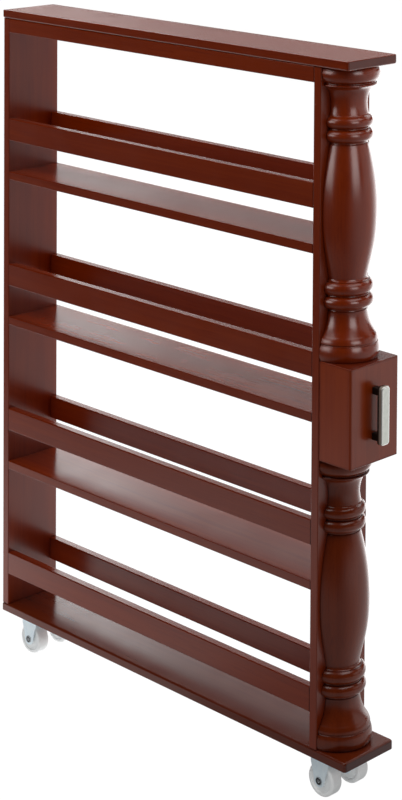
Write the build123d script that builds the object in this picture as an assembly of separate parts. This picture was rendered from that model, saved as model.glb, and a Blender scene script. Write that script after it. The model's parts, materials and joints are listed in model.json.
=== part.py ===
from build123d import *
import os

# Rolling pantry cart: a tall, narrow, open shelf case on four rigid casters, with a flat-backed
# turned post, a handle block and a metal pull applied to one end.
#
# Frame: millimetres, floor at Z = 0, +X towards the post end, +Z up, X = 0 and Y = 0 at the middle
# of the cart. "Front" is the post end, "rear" the plain end, "left" is -Y and "right" is +Y.

# ---- Case -------------------------------------------------------------------------------------
board = 12.0                # thickness of every board
cart_width = 92.0           # width of the end panels, shelves and base
base_length = 664.0         # base board, end to end
post_bay = 48.0             # base and top run this far past the front end panel
caster_height = 52.0        # floor to the underside of the base board
case_height = 880.0         # underside of the base board to the top face of the top board
top_lip = 1.0               # the top board stands this far proud of the long sides
top_setback = 3.5           # and ends this far short of the base board at the post end
level_pitch = 211.5         # from one shelf's upper face to the next
shelf_count = 3
rail_rise = 45.0            # shelf's upper face to the underside of its rails
rail_height = 32.0
apron_height = 20.0
corner_round = 4.0          # plan radius of the two board corners at the post end
soft_edge = 3.0             # rounded lower edge of the top board, upper edge of the base board
crisp_edge = 1.0            # eased edge of panels, shelves and rails
rail_edge = 1.5             # eased upper edge of a rail

# ---- Turned posts and handle block --------------------------------------------------------------
block_height = 125.0
block_width = 90.0
block_overhang = 4.0        # the block ends this far past the base board's end
block_round = 3.0
upper_post_offset = -1.3    # turning axis, measured out from the end panel's face
lower_post_offset = -8.3    # both are sawn past the axis, and the lower one is the thinner

# ---- Pull ---------------------------------------------------------------------------------------
pull_length = 73.0
pull_width = 15.0
pull_bar = 8.0              # thickness of the bar
pull_projection = 18.0      # block face to the outer face of the bar
pull_centres = 57.0         # distance between the two feet
foot_height = 9.0
foot_width = 10.0
foot_corner = 1.5
pull_corner = 4.0
pull_front_edge = 2.0       # rounding around the bar's outer face
pull_back_edge = 1.0

# ---- Casters ------------------------------------------------------------------------------------
wheel_radius = 21.0
wheel_width = 18.0
wheel_round = 3.0
wheel_recess = 1.2          # depth of the dish in each side
rim_width = 4.5             # tread surface to the dish
dish_slope = 1.5            # width of the sloping wall round the dish
hub_radius = 8.0
hub_width = 19.6
axle_radius = 3.0
running_gap = 0.06          # radial clearance of the wheel's bore on its axle
caster_track = 50.0         # across the cart, wheel centre to wheel centre
rear_inset = 48.0           # rear axles, from the rear end of the base board
front_inset = 51.0          # front axles, from the front end of the base board
sheet = 1.8                 # pressed steel of plate and fork
plate_length = 46.0
plate_width = 32.0
plate_corner = 4.0
fork_gap = 20.0             # between the legs
fork_top_width = 28.0
fork_straight = 9.0         # the legs start to taper this far under the base board
fork_end_radius = 8.0
rivet_head_radius = 5.0
rivet_head = 1.2
rivet_bore_radius = 2.0
rivet_bore_depth = 2.0

# ---- Fasteners ----------------------------------------------------------------------------------
fit_gap = 0.05              # radial gap around dowels and screws
dowel_radius = 3.0
dowel_in_panel = 8.0        # depth into the panel's face
dowel_in_end = 14.0         # depth into the rail's or panel's end
dowel_end_gap = 0.5
screw_radius = 2.0
screw_head_radius = 4.0
screw_head_height = 2.4
shelf_screw_length = 40.0
post_screw_length = 32.0
base_screw_length = 45.0
shelf_screw_spread = 46.0
post_screw_heights = (125.0, 245.0)
block_screw_spread = 92.0
dowel_spread = 60.0
pull_screw_radius = 2.0
pull_screw_length = 20.0
pull_screw_head_radius = 3.8
pull_screw_head_height = 2.6
counterbore_radius = 5.0
web_behind_pull = 12.0      # wood left between the counterbore and the block's face
caster_screw_radius = 1.75
caster_screw_length = 10.0
caster_screw_head_radius = 3.4
caster_screw_head_height = 1.6
caster_screw_x = 36.0
caster_screw_y = 24.0
cross_width = 0.9
cross_depth = 1.2

# ---- Places that follow from the sizes above ----------------------------------------------------
overall_length = base_length + block_overhang + pull_projection
x_rear = -overall_length / 2
x_base_end = x_rear + base_length
x_panel_face = x_base_end - post_bay
x_inside_rear = x_rear + board
x_inside_front = x_panel_face - board
x_block_face = x_base_end + block_overhang
inside_length = x_inside_front - x_inside_rear
side = cart_width / 2
z_base_top = caster_height + board
z_case_top = caster_height + case_height - board
post_height = (z_case_top - z_base_top - block_height) / 2
z_block = z_base_top + post_height
z_upper_post = z_block + block_height
z_block_middle = z_block + block_height / 2
z_axle = wheel_radius
axle_places = {
    "front_left": (x_base_end - front_inset, -caster_track / 2),
    "front_right": (x_base_end - front_inset, caster_track / 2),
    "rear_left": (x_rear + rear_inset, -caster_track / 2),
    "rear_right": (x_rear + rear_inset, caster_track / 2),
}
level_floors = [z_base_top + level_pitch * level for level in range(shelf_count + 1)]


def slab(x0, x1, y0, y1, z0, z1):
    """A rectangular board between two corners."""
    box = Box(x1 - x0, y1 - y0, z1 - z0, align=(Align.MIN, Align.MIN, Align.MIN))
    return Pos(x0, y0, z0) * box


def rod(radius, length, start, direction):
    """A cylinder from a start point along a direction."""
    plane = Plane(origin=start, z_dir=direction)
    return plane * Cylinder(radius, length, align=(Align.CENTER, Align.CENTER, Align.MIN))


def edges_at(shape, axis, position):
    """The edges that lie wholly at one position along an axis."""
    return shape.edges().filter_by_position(axis, position - 0.01, position + 0.01)


def cross_recess(start, direction, radius):
    """The two crossed slots in a screw head, cut from its face."""
    plane = Plane(origin=start, z_dir=direction)
    bar = Box(radius * 1.2, cross_width, cross_depth, align=(Align.CENTER, Align.CENTER, Align.MIN))
    return plane * (bar + Rot(0, 0, 90) * bar)


def countersunk_screw(face, direction, length):
    """A flat-head wood screw whose head is flush at face and whose shank runs along direction."""
    plane = Plane(origin=face, z_dir=direction)
    head = Cone(screw_head_radius, screw_radius, screw_head_height,
                align=(Align.CENTER, Align.CENTER, Align.MIN))
    return plane * head + rod(screw_radius, length, face, direction) - cross_recess(
        face, direction, screw_head_radius)


def countersunk_hole(face, direction, length):
    """The space that a flat-head screw takes up, with its gap all round."""
    plane = Plane(origin=face, z_dir=direction)
    head = Cone(screw_head_radius + fit_gap, screw_radius + fit_gap, screw_head_height + fit_gap,
                align=(Align.CENTER, Align.CENTER, Align.MIN))
    return plane * head + rod(screw_radius + fit_gap, length + 1.0, face, direction)


# ---- Where the fasteners go ---------------------------------------------------------------------
def rail_centres():
    """Middle height and side of every rail and apron."""
    heights = [floor + rail_rise + rail_height / 2 for floor in level_floors]
    heights.append(z_case_top - apron_height / 2)
    return [(hand * (side - board / 2), height) for height in heights for hand in (-1, 1)]


def rail_dowel_places():
    """Start point and direction of each dowel between a rail and an end panel."""
    places = []
    for y, z in rail_centres():
        places.append(((x_inside_rear - dowel_in_panel, y, z), (1, 0, 0)))
        places.append(((x_inside_front + dowel_in_panel, y, z), (-1, 0, 0)))
    return places


def panel_dowel_places():
    """Start point and direction of each dowel between an end panel and the top or base board."""
    places = []
    for x in (x_rear + board / 2, x_panel_face - board / 2):
        for y in (-dowel_spread / 2, dowel_spread / 2):
            places.append(((x, y, z_base_top - dowel_in_panel), (0, 0, 1)))
            places.append(((x, y, z_case_top + dowel_in_panel), (0, 0, -1)))
    return places


def shelf_screw_places():
    """Head centre and direction of each screw through an end panel into a shelf."""
    places = []
    for floor in level_floors[1:]:
        for y in (-shelf_screw_spread / 2, shelf_screw_spread / 2):
            places.append(((x_rear, y, floor - board / 2), (1, 0, 0)))
            places.append(((x_panel_face, y, floor - board / 2), (-1, 0, 0)))
    return places


def base_screw_places():
    """One screw up through the base board into the middle of each end panel."""
    return [((x, 0, caster_height), (0, 0, 1)) for x in (x_rear + board / 2, x_panel_face - board / 2)]


def post_screw_places():
    """Screws from inside the front end panel into the two posts."""
    feet = (z_base_top, z_upper_post)
    return [((x_inside_front, 0, foot + h), (1, 0, 0)) for foot in feet for h in post_screw_heights]


def block_screw_places():
    """Screws from inside the front end panel into the handle block."""
    offsets = (-block_screw_spread / 2, block_screw_spread / 2)
    return [((x_inside_front, 0, z_block_middle + dz), (1, 0, 0)) for dz in offsets]


def pull_foot_heights():
    return [z_block_middle - pull_centres / 2, z_block_middle + pull_centres / 2]


# ---- Cutting tools shared by the boards ---------------------------------------------------------
def dowel_length():
    return dowel_in_panel + dowel_in_end


def dowel_holes(places):
    return [rod(dowel_radius + fit_gap, dowel_length(), start, direction)
            for start, direction in places]


def screw_holes(places, length):
    return [countersunk_hole(face, direction, length) for face, direction in places]


# ---- Boards -------------------------------------------------------------------------------------
def end_board(z0, x_end, y_half, soft_z, crisp_z):
    """The top or base board: full length, its two post-end corners rounded in plan."""
    blank = slab(x_rear, x_end, -y_half, y_half, z0, z0 + board)
    corners = blank.edges().filter_by(Axis.Z).sort_by(Axis.X)[-2:]
    blank = fillet(corners, corner_round)
    blank = fillet(edges_at(blank, Axis.Z, soft_z), soft_edge)
    return fillet(edges_at(blank, Axis.Z, crisp_z), crisp_edge)


def make_top_board():
    blank = end_board(z_case_top, x_base_end - top_setback, side + top_lip, z_case_top, z_case_top + board)
    return blank - dowel_holes(panel_dowel_places())


def make_base_board():
    blank = end_board(caster_height, x_base_end, side, z_base_top, caster_height)
    blank = blank - dowel_holes(panel_dowel_places())
    blank = blank - screw_holes(base_screw_places(), base_screw_length)
    for x, y in axle_places.values():
        blank = blank - [rod(caster_screw_radius + fit_gap, caster_screw_length + 0.5,
                             (x + dx, y + dy, caster_height), (0, 0, 1))
                         for dx, dy in caster_screw_offsets()]
    return blank


def end_panel(x0):
    """An upright board between the base and the top, its long edges eased."""
    blank = slab(x0, x0 + board, -side, side, z_base_top, z_case_top)
    return fillet(blank.edges().filter_by(Axis.Z), crisp_edge)


def make_rear_panel():
    panel = end_panel(x_rear) - dowel_holes(rail_dowel_places() + panel_dowel_places())
    panel = panel - screw_holes(base_screw_places(), base_screw_length)
    return panel - screw_holes(shelf_screw_places(), shelf_screw_length)


def make_front_panel():
    panel = end_panel(x_inside_front) - dowel_holes(rail_dowel_places() + panel_dowel_places())
    panel = panel - screw_holes(base_screw_places(), base_screw_length)
    panel = panel - screw_holes(shelf_screw_places(), shelf_screw_length)
    return panel - screw_holes(post_screw_places() + block_screw_places(), post_screw_length)


def make_shelf(floor):
    blank = slab(x_inside_rear, x_inside_front, -side, side, floor - board, floor)
    blank = fillet(blank.edges().filter_by(Axis.X), crisp_edge)
    return blank - screw_holes(shelf_screw_places(), shelf_screw_length)


def make_rail(hand, z0, height):
    """A rail or apron between the end panels, flush with the long side that hand points to."""
    outer = hand * side
    inner = hand * (side - board)
    blank = slab(x_inside_rear, x_inside_front, min(outer, inner), max(outer, inner), z0, z0 + height)
    blank = fillet(blank.edges().filter_by(Axis.X).sort_by(Axis.Z)[-2:], rail_edge)
    blank = fillet(blank.edges().filter_by(Axis.X).sort_by(Axis.Z)[:2], crisp_edge)
    return blank - dowel_holes(rail_dowel_places())


# ---- Turned posts -------------------------------------------------------------------------------
def post_outline():
    """Half outline of the turning as a wire: radius along X, height above its foot along Y."""
    top = post_height
    foot_ring = [Line((0, 0), (43.8, 0)),
                 ThreePointArc((43.8, 0), (45.9, 10.0), (44.0, 19.2)),
                 ThreePointArc((44.0, 19.2), (42.9, 20.5), (43.6, 21.8))]
    bell = [ThreePointArc((43.6, 21.8), (42.6, 26.5), (40.2, 30.5)),
            ThreePointArc((40.2, 30.5), (34.0, 42.0), (30.3, 58.0)),
            Line((30.3, 58.0), (30.3, 60.0)),
            ThreePointArc((30.3, 60.0), (29.4, 61.6), (31.2, 63.2))]
    lower_rings = [ThreePointArc((31.2, 63.2), (37.8, 72.6), (33.4, 78.8)),
                   ThreePointArc((33.4, 78.8), (32.2, 80.1), (33.4, 81.4)),
                   ThreePointArc((33.4, 81.4), (37.4, 89.6), (33.2, 96.8)),
                   ThreePointArc((33.2, 96.8), (30.6, 98.0), (29.6, 100.4))]
    vase = [Spline((29.6, 100.4), (38.1, 139.5), (41.6, 185.0), (38.7, 225.0), (29.8, 267.0),
                   tangents=((0.20, 1.0), (-0.27, 1.0)), tangent_scalars=(1.0, 1.0)),
            ThreePointArc((29.8, 267.0), (29.4, 267.8), (28.8, 268.3)),
            ThreePointArc((28.8, 268.3), (28.4, 269.6), (29.6, 271.2))]
    upper_rings = [ThreePointArc((29.6, 271.2), (35.9, 280.2), (31.6, 286.2)),
                   ThreePointArc((31.6, 286.2), (30.3, 287.6), (31.6, 289.0)),
                   ThreePointArc((31.6, 289.0), (35.8, 296.4), (31.8, 302.8)),
                   ThreePointArc((31.8, 302.8), (30.2, 304.1), (29.6, 306.2))]
    head = [Spline((29.6, 306.2), (28.3, 317.0), (30.6, 331.0), (34.4, 338.0), (39.2, 341.4)),
            ThreePointArc((39.2, 341.4), (40.3, 342.7), (39.2, 343.9)),
            ThreePointArc((39.2, 343.9), (37.8, 344.9), (38.6, 346.0)),
            ThreePointArc((38.6, 346.0), (44.3, 355.5), (41.6, top)),
            Line((41.6, top), (0, top)),
            Line((0, top), (0, 0))]
    return foot_ring + bell + lower_rings + vase + upper_rings + head


def make_post(foot, offset):
    """A turning sawn lengthwise; offset is where its axis lies from the flat back, outwards positive."""
    outline = Plane.XZ * make_face(post_outline())
    turning = Pos(x_panel_face + offset, 0, foot) * revolve(outline, Axis.Z)
    keep = slab(x_panel_face, x_panel_face + cart_width, -side, side, foot - 1, foot + post_height + 1)
    post = turning & keep
    return post - screw_holes(post_screw_places(), post_screw_length)


def make_handle_block():
    half = block_width / 2
    blank = slab(x_panel_face, x_block_face, -half, half, z_block, z_upper_post)
    blank = fillet(blank.edges().filter_by(Axis.Z).sort_by(Axis.X)[-2:], block_round)
    blank = fillet(edges_at(blank, Axis.Z, z_block) + edges_at(blank, Axis.Z, z_upper_post), crisp_edge)
    blank = blank - screw_holes(block_screw_places(), post_screw_length)
    bore_depth = x_block_face - web_behind_pull - x_panel_face
    for z in pull_foot_heights():
        blank = blank - rod(counterbore_radius, bore_depth, (x_panel_face, 0, z), (1, 0, 0))
        blank = blank - rod(pull_screw_radius + fit_gap, web_behind_pull + bore_depth,
                            (x_panel_face, 0, z), (1, 0, 0))
    return blank


# ---- Pull ---------------------------------------------------------------------------------------
def make_pull():
    """One casting: a flat bar with rounded corners on two short feet, each with a blind threaded hole."""
    x_back = x_block_face + pull_projection - pull_bar
    x_out = x_block_face + pull_projection
    z0 = z_block_middle - pull_length / 2
    bar = slab(x_back, x_out, -pull_width / 2, pull_width / 2, z0, z0 + pull_length)
    bar = fillet(bar.edges().filter_by(Axis.X), pull_corner)
    bar = fillet(edges_at(bar, Axis.X, x_out), pull_front_edge)
    bar = fillet(edges_at(bar, Axis.X, x_back), pull_back_edge)
    for z in pull_foot_heights():
        foot = slab(x_block_face, x_back + 1, -foot_width / 2, foot_width / 2,
                    z - foot_height / 2, z + foot_height / 2)
        bar = bar + fillet(foot.edges().filter_by(Axis.X), foot_corner)
    for z in pull_foot_heights():
        bar = bar - rod(pull_screw_radius + fit_gap, pull_screw_length - web_behind_pull + 1.0,
                        (x_block_face, 0, z), (1, 0, 0))
    return bar


def make_pull_screws():
    """Two pan-head machine screws whose heads seat at the bottom of the counterbores."""
    x_seat = x_block_face - web_behind_pull
    screws = []
    for z in pull_foot_heights():
        face = (x_seat - pull_screw_head_height, 0, z)
        head = rod(pull_screw_head_radius, pull_screw_head_height, face, (1, 0, 0))
        head = fillet(edges_at(head, Axis.X, face[0]), 1.0)
        shank = rod(pull_screw_radius, pull_screw_length, (x_seat, 0, z), (1, 0, 0))
        screws.append(head + shank - cross_recess(face, (1, 0, 0), pull_screw_head_radius))
    return Compound(screws)


# ---- Casters ------------------------------------------------------------------------------------
def caster_screw_offsets():
    return [(sx * caster_screw_x / 2, sy * caster_screw_y / 2) for sx in (-1, 1) for sy in (-1, 1)]


def fork_leg(y0):
    """A leg under the plate: straight at the top, then tapering to a round end about the axle."""
    drop = caster_height - z_axle
    half = fork_top_width / 2
    waist = Polyline((-half, 0), (half, 0), (half, -fork_straight), (fork_end_radius, -drop),
                     (-fork_end_radius, -drop), (-half, -fork_straight), (-half, 0))
    blade = make_face(waist) + Pos(0, -drop, 0) * Circle(fork_end_radius)
    plane = Plane(origin=(0, y0, caster_height), x_dir=(1, 0, 0), z_dir=(0, -1, 0))
    return extrude(plane * blade, -sheet)


def make_caster_bracket(x, y):
    """A pressed plate with two fork legs, drilled for four screws and the axle rivet."""
    plate = slab(-plate_length / 2, plate_length / 2, -plate_width / 2, plate_width / 2,
                 caster_height - sheet, caster_height)
    plate = fillet(plate.edges().filter_by(Axis.Z), plate_corner)
    legs = fork_leg(fork_gap / 2) + fork_leg(-fork_gap / 2 - sheet)
    bracket = plate + legs
    for dx, dy in caster_screw_offsets():
        bracket = bracket - rod(caster_screw_radius + 0.3, 2 * sheet + 2,
                                (dx, dy, caster_height - sheet - 1), (0, 0, 1))
    bracket = bracket - rod(axle_radius + fit_gap, 2 * fork_gap, (0, -fork_gap, z_axle), (0, 1, 0))
    return Pos(x, y, 0) * bracket


def make_wheel(x, y):
    """A moulded wheel with a rounded tread, shallow dished sides and a boss around the bore."""
    half = wheel_width / 2
    bore = axle_radius + running_gap
    rim = wheel_radius - rim_width
    dish = half - wheel_recess
    outline = [Line((bore, 0), (bore, hub_width / 2)),
               Line((bore, hub_width / 2), (hub_radius - 1, hub_width / 2)),
               Line((hub_radius - 1, hub_width / 2), (hub_radius, dish)),
               Line((hub_radius, dish), (rim - dish_slope, dish)),
               Line((rim - dish_slope, dish), (rim, half)),
               Line((rim, half), (wheel_radius - wheel_round, half)),
               RadiusArc((wheel_radius - wheel_round, half), (wheel_radius, half - wheel_round),
                         wheel_round),
               Line((wheel_radius, half - wheel_round), (wheel_radius, 0)),
               Line((wheel_radius, 0), (bore, 0))]
    half_wheel = revolve(Plane.XZ * make_face(outline), Axis.Z)
    wheel = half_wheel + mirror(half_wheel, Plane.XY)
    return Pos(x, y, z_axle) * (Rot(90, 0, 0) * wheel)


def make_axle(x, y):
    """A tubular rivet across the fork, with a rolled head outside each leg."""
    half = fork_gap / 2 + sheet
    shaft = rod(axle_radius, 2 * half, (0, -half, 0), (0, 1, 0))
    for hand in (-1, 1):
        head = rod(rivet_head_radius, rivet_head, (0, hand * half, 0), (0, hand, 0))
        head = fillet(edges_at(head, Axis.Y, hand * (half + rivet_head)), 0.6)
        shaft = shaft + head
        mouth = (0, hand * (half + rivet_head), 0)
        shaft = shaft - rod(rivet_bore_radius, rivet_bore_depth, mouth, (0, -hand, 0))
    return Pos(x, y, z_axle) * shaft


def make_caster_screws():
    """Sixteen pan-head screws, four up through each plate into the base board."""
    screws = []
    face_z = caster_height - sheet - caster_screw_head_height
    for x, y in axle_places.values():
        for dx, dy in caster_screw_offsets():
            face = (x + dx, y + dy, face_z)
            head = rod(caster_screw_head_radius, caster_screw_head_height, face, (0, 0, 1))
            head = fillet(edges_at(head, Axis.Z, face_z), 0.8)
            shank = rod(caster_screw_radius, caster_screw_length + sheet,
                        (x + dx, y + dy, caster_height - sheet), (0, 0, 1))
            screws.append(head + shank - cross_recess(face, (0, 0, 1), caster_screw_head_radius))
    return Compound(screws)


# ---- Groups of identical fasteners --------------------------------------------------------------
def make_dowels(places):
    dowels = []
    for start, direction in places:
        start = tuple(s + dowel_end_gap * d for s, d in zip(start, direction))
        dowel = rod(dowel_radius, dowel_length() - 2 * dowel_end_gap, start, direction)
        dowels.append(chamfer(dowel.edges(), 0.6))
    return Compound(dowels)


def make_screws(places, length):
    return Compound([countersunk_screw(face, direction, length) for face, direction in places])


# ---- Every node of the cart ---------------------------------------------------------------------
def make_nodes():
    nodes = {
        "top_board": make_top_board(),
        "base_board": make_base_board(),
        "rear_end_panel": make_rear_panel(),
        "front_end_panel": make_front_panel(),
        "post_upper": make_post(z_upper_post, upper_post_offset),
        "post_lower": make_post(z_base_top, lower_post_offset),
        "handle_block": make_handle_block(),
        "pull_handle": make_pull(),
        "pull_screws": make_pull_screws(),
        "rail_dowels": make_dowels(rail_dowel_places()),
        "end_panel_dowels": make_dowels(panel_dowel_places()),
        "shelf_screws": make_screws(shelf_screw_places(), shelf_screw_length),
        "base_screws": make_screws(base_screw_places(), base_screw_length),
        "post_screws": make_screws(post_screw_places(), post_screw_length),
        "block_screws": make_screws(block_screw_places(), post_screw_length),
        "caster_screws": make_caster_screws(),
    }
    for name, floor in zip(("lower", "middle", "upper"), level_floors[1:]):
        nodes["shelf_" + name] = make_shelf(floor)
    for name, hand in (("left", -1), ("right", 1)):
        nodes["apron_" + name] = make_rail(hand, z_case_top - apron_height, apron_height)
        for level, floor in enumerate(level_floors, start=1):
            nodes[f"rail_{name}_{level}"] = make_rail(hand, floor + rail_rise, rail_height)
    for corner, (x, y) in axle_places.items():
        nodes["caster_bracket_" + corner] = make_caster_bracket(x, y)
        nodes["wheel_" + corner] = make_wheel(x, y)
        nodes["wheel_axle_" + corner] = make_axle(x, y)
    return nodes


os.makedirs("parts", exist_ok=True)
for node, shape in make_nodes().items():
    export_step(shape, f"parts/{node}.step")
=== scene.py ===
import json
import math

import bpy
from mathutils import Matrix, Vector

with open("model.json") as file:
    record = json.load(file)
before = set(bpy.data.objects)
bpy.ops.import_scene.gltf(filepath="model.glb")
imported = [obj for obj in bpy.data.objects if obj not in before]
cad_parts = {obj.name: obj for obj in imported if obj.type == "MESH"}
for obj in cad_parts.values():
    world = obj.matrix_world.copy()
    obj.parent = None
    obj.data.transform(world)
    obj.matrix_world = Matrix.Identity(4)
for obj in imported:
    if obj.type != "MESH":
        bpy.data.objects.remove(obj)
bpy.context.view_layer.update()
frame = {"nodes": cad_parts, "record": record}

# Rolling pantry cart: procedural finishes for every CAD node, a studio and the camera.
# Frame: metres, +X towards the post end, +Z up, the camera stands in front of the -Y side.

# ---- Camera -----------------------------------------------------------------------------------
CAMERA_PLACE = Vector((1.9600, -1.9221, 1.3206))
CAMERA_HEADING = math.radians(-45.393)      # turn about Z, 0 looks along +Y
CAMERA_PITCH = math.radians(2.088)          # downwards
CAMERA_ROLL = math.radians(0.3116)
CAMERA_LENS = 92.486
CAMERA_SHIFT = (0.0013, -0.7295)
HOME_REACH = 0.02                           # the shift ends this far from the camera's own place

# ---- Studio -----------------------------------------------------------------------------------
# Strengths are radiances: 1 is a white surface seen at full brightness.
AIM = Vector((0.20, 0.0, 0.60))             # every light faces this point
AMBIENT = 0.02
FLOOR_REACH = 40.0                          # half the side of the floor
FLOOR_BASE = 0.05
FLOOR_POOL = 0.65                           # lit pool round the cart
POOL_FADE = (0.7, 1.6)                      # distances from the cart's middle where it fades out
POOL_CAMERA_LOSS = 0.7                      # share of the pool missing towards the camera
FLOOR_RIGHT = 0.65                          # floor to the back right
RIGHT_FADE = (0.7, 1.7)
FLOOR_BEHIND = 2.4                          # floor to the back left, seen in the sheen of the rails
BEHIND_FADE = (0.3, 0.7)
BEHIND_NEAR = 0.2                           # share of it left under the cart
TO_CAMERA = (0.7071, -0.7071)
TO_BACK_RIGHT = (0.7071, 0.7071)
TO_BACK_LEFT = (-0.7071, 0.7071)

# Angles in degrees: azimuth turns from +X towards +Y, low and high are elevations.
LIGHTS = (      # name, azimuth, width, low, high, distance, radiance, what it falls on
    ("glint_left", -103, 28, 2, 26, 4.0, 4.0, "upper post glints"),
    ("glint_right", -4, 28, 2, 26, 4.0, 4.0, "upper post glints"),
    ("softbox_left", -103, 26, 8, 42, 4.0, 1.4, "all but the lower post"),
    ("softbox_right", -4, 26, 10, 44, 4.0, 1.2, "upper post"),
    ("boom_left", -115, 70, 44, 66, 2.0, 3.15, "all"),
    ("boom_right", 15, 70, 44, 66, 2.0, 2.55, "all"),
    ("boom_back", 140, 60, 40, 64, 4.0, 3.15, "all"),
    ("back_right", 90, 40, 24, 38, 4.0, 2.5, "all"),
    ("window_back_left", 152, 28, 17, 28, 12.0, 3.1, "all"),
    ("backdrop", 130, 60, 14, 30, 4.0, 0.5, "all"),
    ("horizon", 130, 50, 0, 8, 4.0, 2.8, "all"),
    ("fill_right", 50, 50, 0, 24, 4.0, 0.7, "all"),
    ("top_light", 0, 80, 66, 100, 2.0, 0.5, "all"),
    ("top_card", 0, 80, 66, 100, 2.0, 2.2, "top board"),
    ("low_card", -45, 60, -6, 20, 4.0, 2.2, "front casters"),
)
FALLS_ON = {    # the nodes that a flagged light is kept to, or kept off
    "upper post glints": ("INCLUDE", ("post_upper",)),
    "upper post": ("INCLUDE", ("post_upper",)),
    "top board": ("INCLUDE", ("top_board",)),
    "front casters": ("INCLUDE", ("wheel_front_left", "wheel_front_right",
                                  "caster_bracket_front_left", "caster_bracket_front_right")),
    "all but the lower post": ("EXCLUDE", ("post_lower",)),
}
HIGHLIGHTS_ONLY = ("upper post glints",)


class Shader:
    """A small helper that adds nodes to a material or world and joins them."""

    def __init__(self, tree):
        self.tree = tree
        tree.nodes.clear()

    def add(self, kind, inputs=None, **settings):
        node = self.tree.nodes.new(kind)
        for name, value in settings.items():
            setattr(node, name, value)
        for name, value in (inputs or {}).items():
            self.feed(node.inputs[name], value)
        return node

    def feed(self, socket, value):
        if isinstance(value, bpy.types.NodeSocket):
            self.tree.links.new(value, socket)
        elif isinstance(value, bpy.types.Node):
            self.tree.links.new(value.outputs[0], socket)
        else:
            socket.default_value = value

    def math(self, operation, a, b=0.0):
        node = self.add("ShaderNodeMath", operation=operation)
        self.feed(node.inputs[0], a)
        self.feed(node.inputs[1], b)
        return node.outputs[0]

    def vector(self, operation, a, b=(0, 0, 0)):
        node = self.add("ShaderNodeVectorMath", operation=operation)
        self.feed(node.inputs[0], a)
        self.feed(node.inputs[1], b)
        return node

    def remap(self, value, low, high, to_low=0.0, to_high=1.0, smooth=True):
        node = self.add("ShaderNodeMapRange", clamp=True)
        if smooth:
            node.interpolation_type = "SMOOTHSTEP"
        for name, item in (("Value", value), ("From Min", low), ("From Max", high),
                           ("To Min", to_low), ("To Max", to_high)):
            self.feed(node.inputs[name], item)
        return node.outputs[0]

    def noise(self, vector, scale, detail=3.0, roughness=0.5, distortion=0.0):
        node = self.add("ShaderNodeTexNoise", {"Vector": vector, "Scale": scale, "Detail": detail,
                                               "Roughness": roughness, "Distortion": distortion})
        return node.outputs[0]

    def mix(self, factor, a, b):
        """Colour a where the factor is 0 and colour b where it is 1."""
        node = self.add("ShaderNodeMix", data_type="RGBA")
        self.feed(node.inputs["Factor"], factor)
        self.feed(node.inputs[6], a)
        self.feed(node.inputs[7], b)
        return node.outputs[2]

    def normal(self):
        return self.add("ShaderNodeNewGeometry").outputs["Normal"]

    def from_centre(self):
        """Place in the piece's own box, each axis running from -0.5 to 0.5."""
        place = self.add("ShaderNodeTexCoord").outputs["Generated"]
        return self.vector("SUBTRACT", place, (0.5, 0.5, 0.5)).outputs[0]

    def edge_mask(self, radius):
        """1 on convex edges and 0 on open faces, from how far a bevelled normal leaves the true one."""
        bevel = self.add("ShaderNodeBevel", {"Radius": radius}, samples=6)
        dot = self.vector("DOT_PRODUCT", bevel.outputs[0], self.normal()).outputs["Value"]
        return self.remap(dot, 0.99, 0.80, 0.0, 1.0)


def new_material(name):
    material = bpy.data.materials.new(name)
    material.use_nodes = True
    return material, Shader(material.node_tree)


def finish_material(shader, bsdf):
    output = shader.add("ShaderNodeOutputMaterial")
    shader.tree.links.new(bsdf.outputs[0], output.inputs["Surface"])


def seeded_position(shader):
    """Object coordinates in metres, shifted by each piece's own grain seed."""
    place = shader.add("ShaderNodeTexCoord").outputs["Object"]
    seed = shader.add("ShaderNodeAttribute", attribute_type="OBJECT", attribute_name="grain_seed")
    shift = shader.vector("SCALE", (0.37, 0.61, 0.83))
    shader.feed(shift.inputs["Scale"], seed.outputs["Fac"])
    return shader.vector("ADD", place, shift.outputs[0]).outputs[0]


def axis_scale(axis, along, across=1.0):
    """One factor for the named axis (0 is X, 1 is Y, 2 is Z) and another for the two across it."""
    return tuple(along if i == axis else across for i in range(3))


# ---- Lacquered wood ---------------------------------------------------------------------------
STAIN_DARK = (0.165, 0.0132, 0.0001, 1)
STAIN_MID = (0.212, 0.0200, 0.0001, 1)
STAIN_LIGHT = (0.250, 0.0260, 0.0002, 1)
EDGE_AND_SHADE_TINT = (0.045, 0.0035, 0.0003, 1)      # darker tone for edges and end grain, and the painted shade in crevices
STAIN_AND_SHADE = {                             # how much of each colour these pieces give back; on the base board and lower post it is painted shade and sheen
    "handle_block": (1.30, 1.60, 20.0),     # browner than the rest
    "base_board": (0.66, 0.85, 20.0),       # painted shade: darker than the rest, with a little painted sheen
    # painted sheen: a little greyer than the rest, and slightly darker
    "post_lower": (0.95, 1.20, 20.0),
}
GRAIN_STRETCH = 0.035                       # frequency along the grain over frequency across it
PORE_STRETCH = 0.12
BLOTCH_SCALE = 7.0                          # noise scales, in cycles per metre across the grain
SMUDGE_SCALE = 22.0
PATCH_SCALE = 55.0
BAND_SCALE = 60.0
PEEL_SCALE = 260.0
FIBRE_SCALE = 420.0
PORE_SCALE = 900.0
EDGE_WIDTH = 0.0028                         # darker band along an ordinary edge
BLOCK_EDGE_WIDTH = 0.006
CREVICE_REACH = 0.009                       # painted crevice shade falls on a face this near to another one
# how dark the painted crevice shade gets
CREVICE_SHADE_SHARE = 0.9
END_GRAIN_AND_SHADE_SHARE = 0.6
FACE_GLOSS = 0.5
EDGE_GLOSS = 0.12


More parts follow.
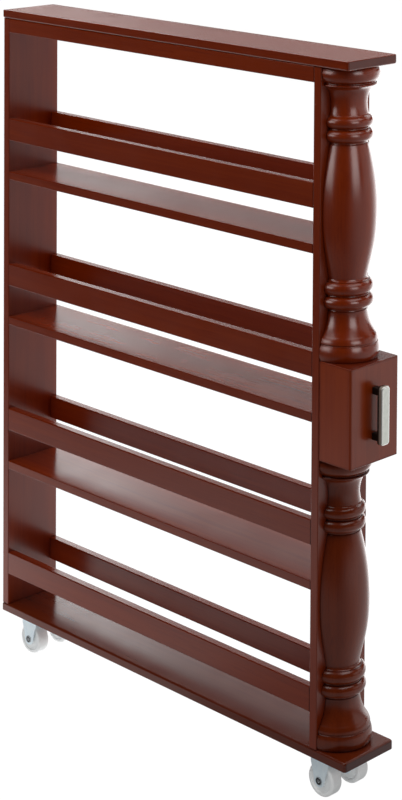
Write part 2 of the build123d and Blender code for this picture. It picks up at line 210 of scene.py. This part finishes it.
def grain_colour(s, place, along, fibres, pores):
    """Stain over bands, fibres and pores, with slow blotches."""
    grain_space = s.vector("MULTIPLY", place, axis_scale(along, GRAIN_STRETCH)).outputs[0]
    bands = s.noise(grain_space, BAND_SCALE, detail=4.0, roughness=0.6, distortion=0.6)
    blotches = s.noise(place, BLOTCH_SCALE, detail=2.0)
    colour = s.mix(s.remap(bands, 0.35, 0.68), STAIN_MID, STAIN_LIGHT)
    colour = s.mix(s.remap(fibres, 0.50, 0.30, 0.0, 0.5), colour, STAIN_DARK)
    colour = s.mix(s.remap(pores, 0.36, 0.24, 0.0, 0.3), colour, STAIN_DARK)
    return s.mix(s.remap(blotches, 0.35, 0.7, 0.0, 0.22), colour, STAIN_DARK)


def lacquer(name, along, edge_width=EDGE_WIDTH):
    """Red-brown lacquer over fine wood grain that runs along one axis (0 is X, 2 is Z)."""
    material, s = new_material(name)
    place = seeded_position(s)
    fibre_space = s.vector("MULTIPLY", place, axis_scale(along, GRAIN_STRETCH)).outputs[0]
    pore_space = s.vector("MULTIPLY", place, axis_scale(along, PORE_STRETCH)).outputs[0]
    fibres = s.noise(fibre_space, FIBRE_SCALE, detail=4.0, roughness=0.65)
    pores = s.noise(pore_space, PORE_SCALE, detail=2.0)
    colour = grain_colour(s, place, along, fibres, pores)

    patchy = s.remap(s.noise(place, PATCH_SCALE, detail=3.0), 0.38, 0.62, 0.6, 0.95)
    edge_band = s.math("MULTIPLY", s.edge_mask(edge_width), patchy)
    # Painted shade: ambient occlusion darkens the colour and dims the gloss in crevices, coves and
    # where parts meet.
    openness = s.add("ShaderNodeAmbientOcclusion", {"Distance": CREVICE_REACH}, samples=8).outputs["AO"]
    crevice_shade = s.remap(openness, 0.60, 0.20)
    edge_band_and_crevice_shade = s.math("MAXIMUM", edge_band, s.math("MULTIPLY", crevice_shade, CREVICE_SHADE_SHARE))
    colour = s.mix(edge_band_and_crevice_shade, colour, EDGE_AND_SHADE_TINT)
    # Faces across the grain turn darker: end grain takes more stain, and on the block's top this also
    # paints the shade round the upper post's foot.
    facing = s.vector("DOT_PRODUCT", s.normal(), axis_scale(along, 1.0, 0.0)).outputs["Value"]
    end_grain_and_shade = s.remap(s.math("ABSOLUTE", facing), 0.80, 0.95, 0.0, END_GRAIN_AND_SHADE_SHARE)
    colour = s.mix(end_grain_and_shade, colour, EDGE_AND_SHADE_TINT)
    depth = s.add("ShaderNodeAttribute", attribute_type="OBJECT", attribute_name="stain_depth")
    colour = s.vector("MULTIPLY", colour, depth.outputs["Vector"]).outputs[0]

    smudges = s.noise(place, SMUDGE_SCALE, detail=4.0, roughness=0.6)
    peel = s.noise(place, PEEL_SCALE, detail=1.0)
    height = s.math("ADD", s.math("MULTIPLY", fibres, 0.6), s.math("MULTIPLY", pores, 0.4))
    height = s.math("ADD", height, s.math("MULTIPLY", peel, 0.5))
    bump = s.add("ShaderNodeBump", {"Strength": 0.03, "Distance": 0.0002, "Height": height})
    edge_gloss = s.remap(edge_band, 0.0, 1.0, FACE_GLOSS, EDGE_GLOSS, smooth=False)
    bsdf = s.add("ShaderNodeBsdfPrincipled", {
        "Base Color": colour, "Roughness": s.remap(smudges, 0.3, 0.75, 0.21, 0.27),
        "Normal": bump.outputs[0], "IOR": 1.5,
        "Specular IOR Level": s.math("MULTIPLY", edge_gloss, s.math("SUBTRACT", 1.0, crevice_shade))})
    finish_material(s, bsdf)
    return material


# ---- Metals, nylon and bare wood --------------------------------------------------------------
PULL_SIDE_SHADE = (0.40, 0.35, 0.29, 1)        # painted shade: the pull's sides near its face, duller than the face
SHADE_NEAR_BLOCK = (0.015, 0.013, 0.010, 1)        # painted shade: the pull's sides near the block, nearly black
SIDE_METALLIC = 0.3
BRUSH_STRETCH = 0.05
METAL_EDGE_WIDTH = 0.0006
RIVET_DARK = (0.02, 0.022, 0.025, 1)
RIVET_SCUFFED = (0.07, 0.075, 0.08, 1)
RIVET_RIM = (0.45, 0.48, 0.50, 1)
RIVET_BRIGHT_MIDDLE = (0.80, 0.82, 0.84, 1)
NYLON_MILKY = (0.84, 0.86, 0.86, 1)
NYLON_PALE = (0.91, 0.92, 0.92, 1)
NYLON_SCUFFED = (0.62, 0.62, 0.61, 1)
BEECH_DARK = (0.36, 0.20, 0.10, 1)
BEECH_LIGHT = (0.58, 0.38, 0.22, 1)


def metal(name, colour, dull, rough, brush_axis, edge_colour, metallic=1.0, shading=None):
    """Plated or brushed metal: fine lines along one axis, cloudy tone and brighter edges."""
    material, s = new_material(name)
    place = seeded_position(s)
    line_space = s.vector("MULTIPLY", place, axis_scale(brush_axis, BRUSH_STRETCH)).outputs[0]
    lines = s.noise(line_space, 2500.0, detail=2.0)
    clouds = s.noise(place, 160.0, detail=4.0)
    tone = s.mix(s.remap(clouds, 0.35, 0.7, 0.0, 0.7), colour, dull)
    tone = s.mix(s.edge_mask(METAL_EDGE_WIDTH), tone, edge_colour)
    if shading:
        tone, metallic = shading(s, tone, edge_colour)
    bump = s.add("ShaderNodeBump", {"Strength": 0.12, "Distance": 0.0001, "Height": lines})
    bsdf = s.add("ShaderNodeBsdfPrincipled", {
        "Base Color": tone, "Metallic": metallic, "Normal": bump.outputs[0],
        "Roughness": s.remap(lines, 0.3, 0.7, rough - 0.05, rough + 0.07)})
    finish_material(s, bsdf)
    return material


def pull_shading(s, tone, edge_colour):
    """Bright outer face (+X) with a painted highlight on its rim, and painted shade on the sides: dull
    grey that turns black towards the block.
    """
    faces = s.add("ShaderNodeSeparateXYZ", {"Vector": s.normal()}).outputs["X"]
    place = s.from_centre()
    outward = s.add("ShaderNodeSeparateXYZ", {"Vector": place}).outputs["X"]
    apart = s.add("ShaderNodeSeparateXYZ", {"Vector": s.vector("ABSOLUTE", place)})
    # Painted highlight: the rounded rim round the outer face gets the light edge colour.
    border = s.math("MAXIMUM", s.remap(apart.outputs["Y"], 0.33, 0.39),
                    s.remap(apart.outputs["Z"], 0.465, 0.480))
    rim = s.math("MULTIPLY", s.remap(faces, 0.2, 0.45), border)
    shine = s.math("MAXIMUM", s.remap(faces, 0.75, 0.97), rim)
    # Painted shade: the sides are dull grey, turning black towards the block.
    shaded_side = s.mix(s.remap(outward, 0.18, 0.28), SHADE_NEAR_BLOCK, PULL_SIDE_SHADE)
    tone = s.mix(shine, shaded_side, s.mix(rim, tone, edge_colour))
    return tone, s.remap(shine, 0.0, 1.0, SIDE_METALLIC, 1.0)


def rivet_steel(name):
    """Dark phosphated steel with a bright bored middle."""
    material, s = new_material(name)
    scratches = s.noise(seeded_position(s), 1500.0, detail=3.0)
    across = s.vector("MULTIPLY", s.from_centre(), (1, 0, 1)).outputs[0]
    ring = s.vector("LENGTH", across).outputs["Value"]
    dark = s.mix(s.remap(scratches, 0.4, 0.7), RIVET_DARK, RIVET_SCUFFED)
    rim = s.mix(s.remap(ring, 0.38, 0.46), dark, RIVET_RIM)
    tone = s.mix(s.remap(ring, 0.24, 0.19), rim, RIVET_BRIGHT_MIDDLE)
    bump = s.add("ShaderNodeBump", {"Strength": 0.15, "Distance": 0.0001, "Height": scratches})
    bsdf = s.add("ShaderNodeBsdfPrincipled", {
        "Base Color": tone, "Metallic": 0.7, "Roughness": s.remap(scratches, 0.3, 0.7, 0.3, 0.5),
        "Normal": bump.outputs[0]})
    finish_material(s, bsdf)
    return material


def nylon(name):
    """Milky wheel nylon, slightly see-through, scuffed on the tread."""
    material, s = new_material(name)
    place = seeded_position(s)
    scuffs = s.noise(place, 420.0, detail=4.0, roughness=0.7)
    clouds = s.noise(place, 60.0, detail=2.0)
    tone = s.mix(s.remap(clouds, 0.3, 0.7), NYLON_MILKY, NYLON_PALE)
    tone = s.mix(s.remap(scuffs, 0.62, 0.75, 0.0, 0.5), tone, NYLON_SCUFFED)
    bump = s.add("ShaderNodeBump", {"Strength": 0.15, "Distance": 0.0002, "Height": scuffs})
    bsdf = s.add("ShaderNodeBsdfPrincipled", {
        "Base Color": tone, "Roughness": s.remap(scuffs, 0.3, 0.7, 0.28, 0.48),
        "Normal": bump.outputs[0],
        "Subsurface Weight": 0.35, "Subsurface Radius": (0.004, 0.004, 0.004),
        "Subsurface Scale": 1.0})
    finish_material(s, bsdf)
    return material


def bare_beech(name):
    """Pale dowel wood with fine straight grain along X and Z."""
    material, s = new_material(name)
    place = seeded_position(s)
    fibres = s.noise(s.vector("MULTIPLY", place, (0.08, 1.0, 0.3)).outputs[0], 700.0, detail=4.0)
    tone = s.mix(s.remap(fibres, 0.35, 0.65), BEECH_DARK, BEECH_LIGHT)
    bump = s.add("ShaderNodeBump", {"Strength": 0.2, "Distance": 0.0002, "Height": fibres})
    bsdf = s.add("ShaderNodeBsdfPrincipled", {
        "Base Color": tone, "Roughness": s.remap(fibres, 0.3, 0.7, 0.55, 0.75),
        "Normal": bump.outputs[0]})
    finish_material(s, bsdf)
    return material


LACQUER_X = lacquer("mahogany_lacquer_long", 0)
LACQUER_Z = lacquer("mahogany_lacquer_upright", 2)
LACQUER_BLOCK = lacquer("mahogany_lacquer_block", 2, BLOCK_EDGE_WIDTH)
ZINC = metal("zinc_plate", colour=(0.80, 0.90, 0.95, 1), dull=(0.70, 0.82, 0.90, 1), rough=0.34,
             brush_axis=2, edge_colour=(0.92, 0.97, 1.0, 1), metallic=0.25)
RIVET = rivet_steel("rivet_steel")
# The nickel's edge colour is a painted highlight, strongest on the pull's rim.
NICKEL = metal("satin_nickel", colour=(0.76, 0.78, 0.72, 1), dull=(0.68, 0.70, 0.64, 1), rough=0.36,
               brush_axis=2, edge_colour=(1.0, 0.98, 0.93, 1), shading=pull_shading)
SCREW = metal("screw_steel", colour=(0.24, 0.24, 0.25, 1), dull=(0.16, 0.16, 0.17, 1), rough=0.38,
              brush_axis=0, edge_colour=(0.38, 0.38, 0.39, 1))
NYLON = nylon("wheel_nylon")
BEECH = bare_beech("beech_dowel")

BY_SLOT = {"beech_dowel": BEECH, "zinc_plate": ZINC, "rivet_steel": RIVET, "nylon": NYLON,
           "satin_nickel": NICKEL, "screw_steel": SCREW}
UPRIGHT = ("rear_end_panel", "front_end_panel", "post_upper", "post_lower", "handle_block")


def wood_for(name):
    if name == "handle_block":
        return LACQUER_BLOCK
    return LACQUER_Z if name in UPRIGHT else LACQUER_X


def dress_cad_nodes():
    slots = {part["node"]: part["material_slot"] for part in frame["record"]["subparts"]}
    for seed, name in enumerate(sorted(frame["nodes"])):
        node = frame["nodes"][name]
        node.data.materials.clear()
        node.data.materials.append(BY_SLOT.get(slots[name]) or wood_for(name))
        node["grain_seed"] = float(seed)
        node["stain_depth"] = STAIN_AND_SHADE.get(name, (1.0, 1.0, 1.0))


# ---- Floor, world and lights ------------------------------------------------------------------
def floor_glow(s, place):
    """How bright the floor looks to the cart: a pool round it, dimmer in front, and light behind."""
    flat = s.vector("MULTIPLY", place, (1, 1, 0)).outputs[0]
    reach = s.vector("LENGTH", flat).outputs["Value"]
    heading = s.vector("NORMALIZE", flat).outputs[0]

    def towards(way):
        return s.remap(s.vector("DOT_PRODUCT", heading, way + (0,)).outputs["Value"], 0.1, 0.95)

    near, far = POOL_FADE
    loss = s.math("MULTIPLY", towards(TO_CAMERA), POOL_CAMERA_LOSS)
    pool = s.math("MULTIPLY", s.remap(reach, far, near, 0.0, FLOOR_POOL), s.math("SUBTRACT", 1.0, loss))
    right = s.math("MULTIPLY", towards(TO_BACK_RIGHT), s.remap(reach, *RIGHT_FADE, 0.0, FLOOR_RIGHT))
    behind = s.remap(reach, *BEHIND_FADE, BEHIND_NEAR * FLOOR_BEHIND, FLOOR_BEHIND)
    behind = s.math("MULTIPLY", towards(TO_BACK_LEFT), behind)
    level = s.math("ADD", s.math("ADD", pool, right), behind)
    return s.math("ADD", level, FLOOR_BASE)


def make_floor():
    """A white sweep to the camera. The cart itself is lit by a dimmer, uneven studio floor."""
    mesh = bpy.data.meshes.new("floor")
    corners = [(x * FLOOR_REACH, y * FLOOR_REACH, 0) for x, y in ((-1, -1), (1, -1), (1, 1), (-1, 1))]
    mesh.from_pydata(corners, [], [(0, 1, 2, 3)])
    floor = bpy.data.objects.new("floor", mesh)
    bpy.context.scene.collection.objects.link(floor)
    material, s = new_material("floor_paper")
    material.cycles.emission_sampling = "NONE"
    place = s.add("ShaderNodeTexCoord").outputs["Object"]
    shade = s.mix(s.noise(place, 3.0, detail=2.0), (0.05, 0.05, 0.05, 1), (0.06, 0.06, 0.06, 1))
    paper = s.add("ShaderNodeBsdfDiffuse", {"Color": shade})
    white = s.add("ShaderNodeEmission", {"Color": (1, 1, 1, 1), "Strength": 1.0})
    glow = s.add("ShaderNodeEmission", {"Color": (1, 1, 1, 1), "Strength": floor_glow(s, place)})
    to_camera = s.add("ShaderNodeLightPath").outputs["Is Camera Ray"]
    light = s.add("ShaderNodeMixShader", {"Fac": to_camera, 1: glow, 2: white})
    both = s.add("ShaderNodeAddShader", {0: paper, 1: light})
    finish_material(s, both)
    floor.data.materials.append(material)


def make_world():
    """White to the camera, a faint fill to everything else."""
    world = bpy.data.worlds.new("studio")
    bpy.context.scene.world = world
    world.use_nodes = True
    s = Shader(world.node_tree)
    to_camera = s.add("ShaderNodeLightPath").outputs["Is Camera Ray"]
    level = s.add("ShaderNodeMix", {"Factor": to_camera, 2: AMBIENT, 3: 1.0}, data_type="FLOAT")
    shade = s.add("ShaderNodeBackground", {"Color": (1, 1, 1, 1), "Strength": level})
    output = s.add("ShaderNodeOutputWorld")
    s.tree.links.new(shade.outputs[0], output.inputs["Surface"])


def studio_light(name, azimuth, width, low, high, distance, radiance, falls_on):
    """A rectangular light that faces AIM and fills the given angles, as seen from there."""
    turn = math.radians(azimuth)
    rise = math.radians((low + high) / 2)
    away = Vector((math.cos(turn) * math.cos(rise), math.sin(turn) * math.cos(rise), math.sin(rise)))
    data = bpy.data.lights.new(name, "AREA")
    data.shape = "RECTANGLE"
    data.size = 2 * distance * math.cos(rise) * math.tan(math.radians(width / 2))
    data.size_y = 2 * distance * math.tan(math.radians((high - low) / 2))
    data.energy = radiance * math.pi * data.size * data.size_y
    light = bpy.data.objects.new(name, data)
    bpy.context.scene.collection.objects.link(light)
    light.location = AIM + away * distance
    light.rotation_mode = "QUATERNION"
    light.rotation_quaternion = (-away).to_track_quat("-Z", "Y")
    light.visible_camera = False
    light.visible_diffuse = falls_on not in HIGHLIGHTS_ONLY
    if falls_on in FALLS_ON:
        flag_light(light, *FALLS_ON[falls_on])


def flag_light(light, state, nodes):
    """Keeps a light to some nodes, or off them, as black flags in a studio would."""
    group = bpy.data.collections.new(light.name + "_link")
    for name in nodes:
        group.objects.link(frame["nodes"][name])
    light.light_linking.receiver_collection = group
    for member in group.collection_objects:
        member.light_linking.link_state = state


# ---- Camera -----------------------------------------------------------------------------------
def make_camera():
    camera = bpy.data.objects.new("camera", bpy.data.cameras.new("camera"))
    bpy.context.scene.collection.objects.link(camera)
    h, p, r = CAMERA_HEADING, CAMERA_PITCH, CAMERA_ROLL
    forward = Vector((math.sin(h) * math.cos(p), math.cos(h) * math.cos(p), -math.sin(p)))
    level_right = Vector((math.cos(h), -math.sin(h), 0))
    level_up = level_right.cross(forward)
    right = level_right * math.cos(r) + level_up * math.sin(r)
    up = level_up * math.cos(r) - level_right * math.sin(r)
    turn = Matrix((right, up, -forward)).transposed()
    camera.rotation_mode = "QUATERNION"
    camera.rotation_quaternion = turn.to_quaternion()
    camera.location = CAMERA_PLACE
    camera.data.sensor_width = 36.0
    camera.data.lens = CAMERA_LENS
    camera.data.clip_start = 0.05
    camera.data.clip_end = 200.0
    home = bpy.data.objects.new("camera_home", None)
    home.location = CAMERA_PLACE
    bpy.context.scene.collection.objects.link(home)
    for axis, shift in zip(("shift_x", "shift_y"), CAMERA_SHIFT):
        shift_at_home(camera, home, axis, shift)
    bpy.context.scene.camera = camera


def shift_at_home(camera, home, axis, shift):
    """Shifts the lens only while the camera stands at its own place. Elsewhere it looks straight."""
    curve = camera.data.driver_add(axis)
    for modifier in list(curve.modifiers):
        curve.modifiers.remove(modifier)
    curve.driver.type = "SUM"
    gap = curve.driver.variables.new()
    gap.type = "LOC_DIFF"
    gap.targets[0].id = camera
    gap.targets[1].id = home
    steps = ((0.0, shift), (HOME_REACH, 0.0))
    curve.keyframe_points.add(len(steps))
    for point, step in zip(curve.keyframe_points, steps):
        point.co = step
        point.interpolation = "CONSTANT"


dress_cad_nodes()
make_floor()
make_world()
for row in LIGHTS:
    studio_light(*row)
make_camera()

scene = bpy.context.scene
scene.view_settings.view_transform = "Standard"
scene.view_settings.look = "None"
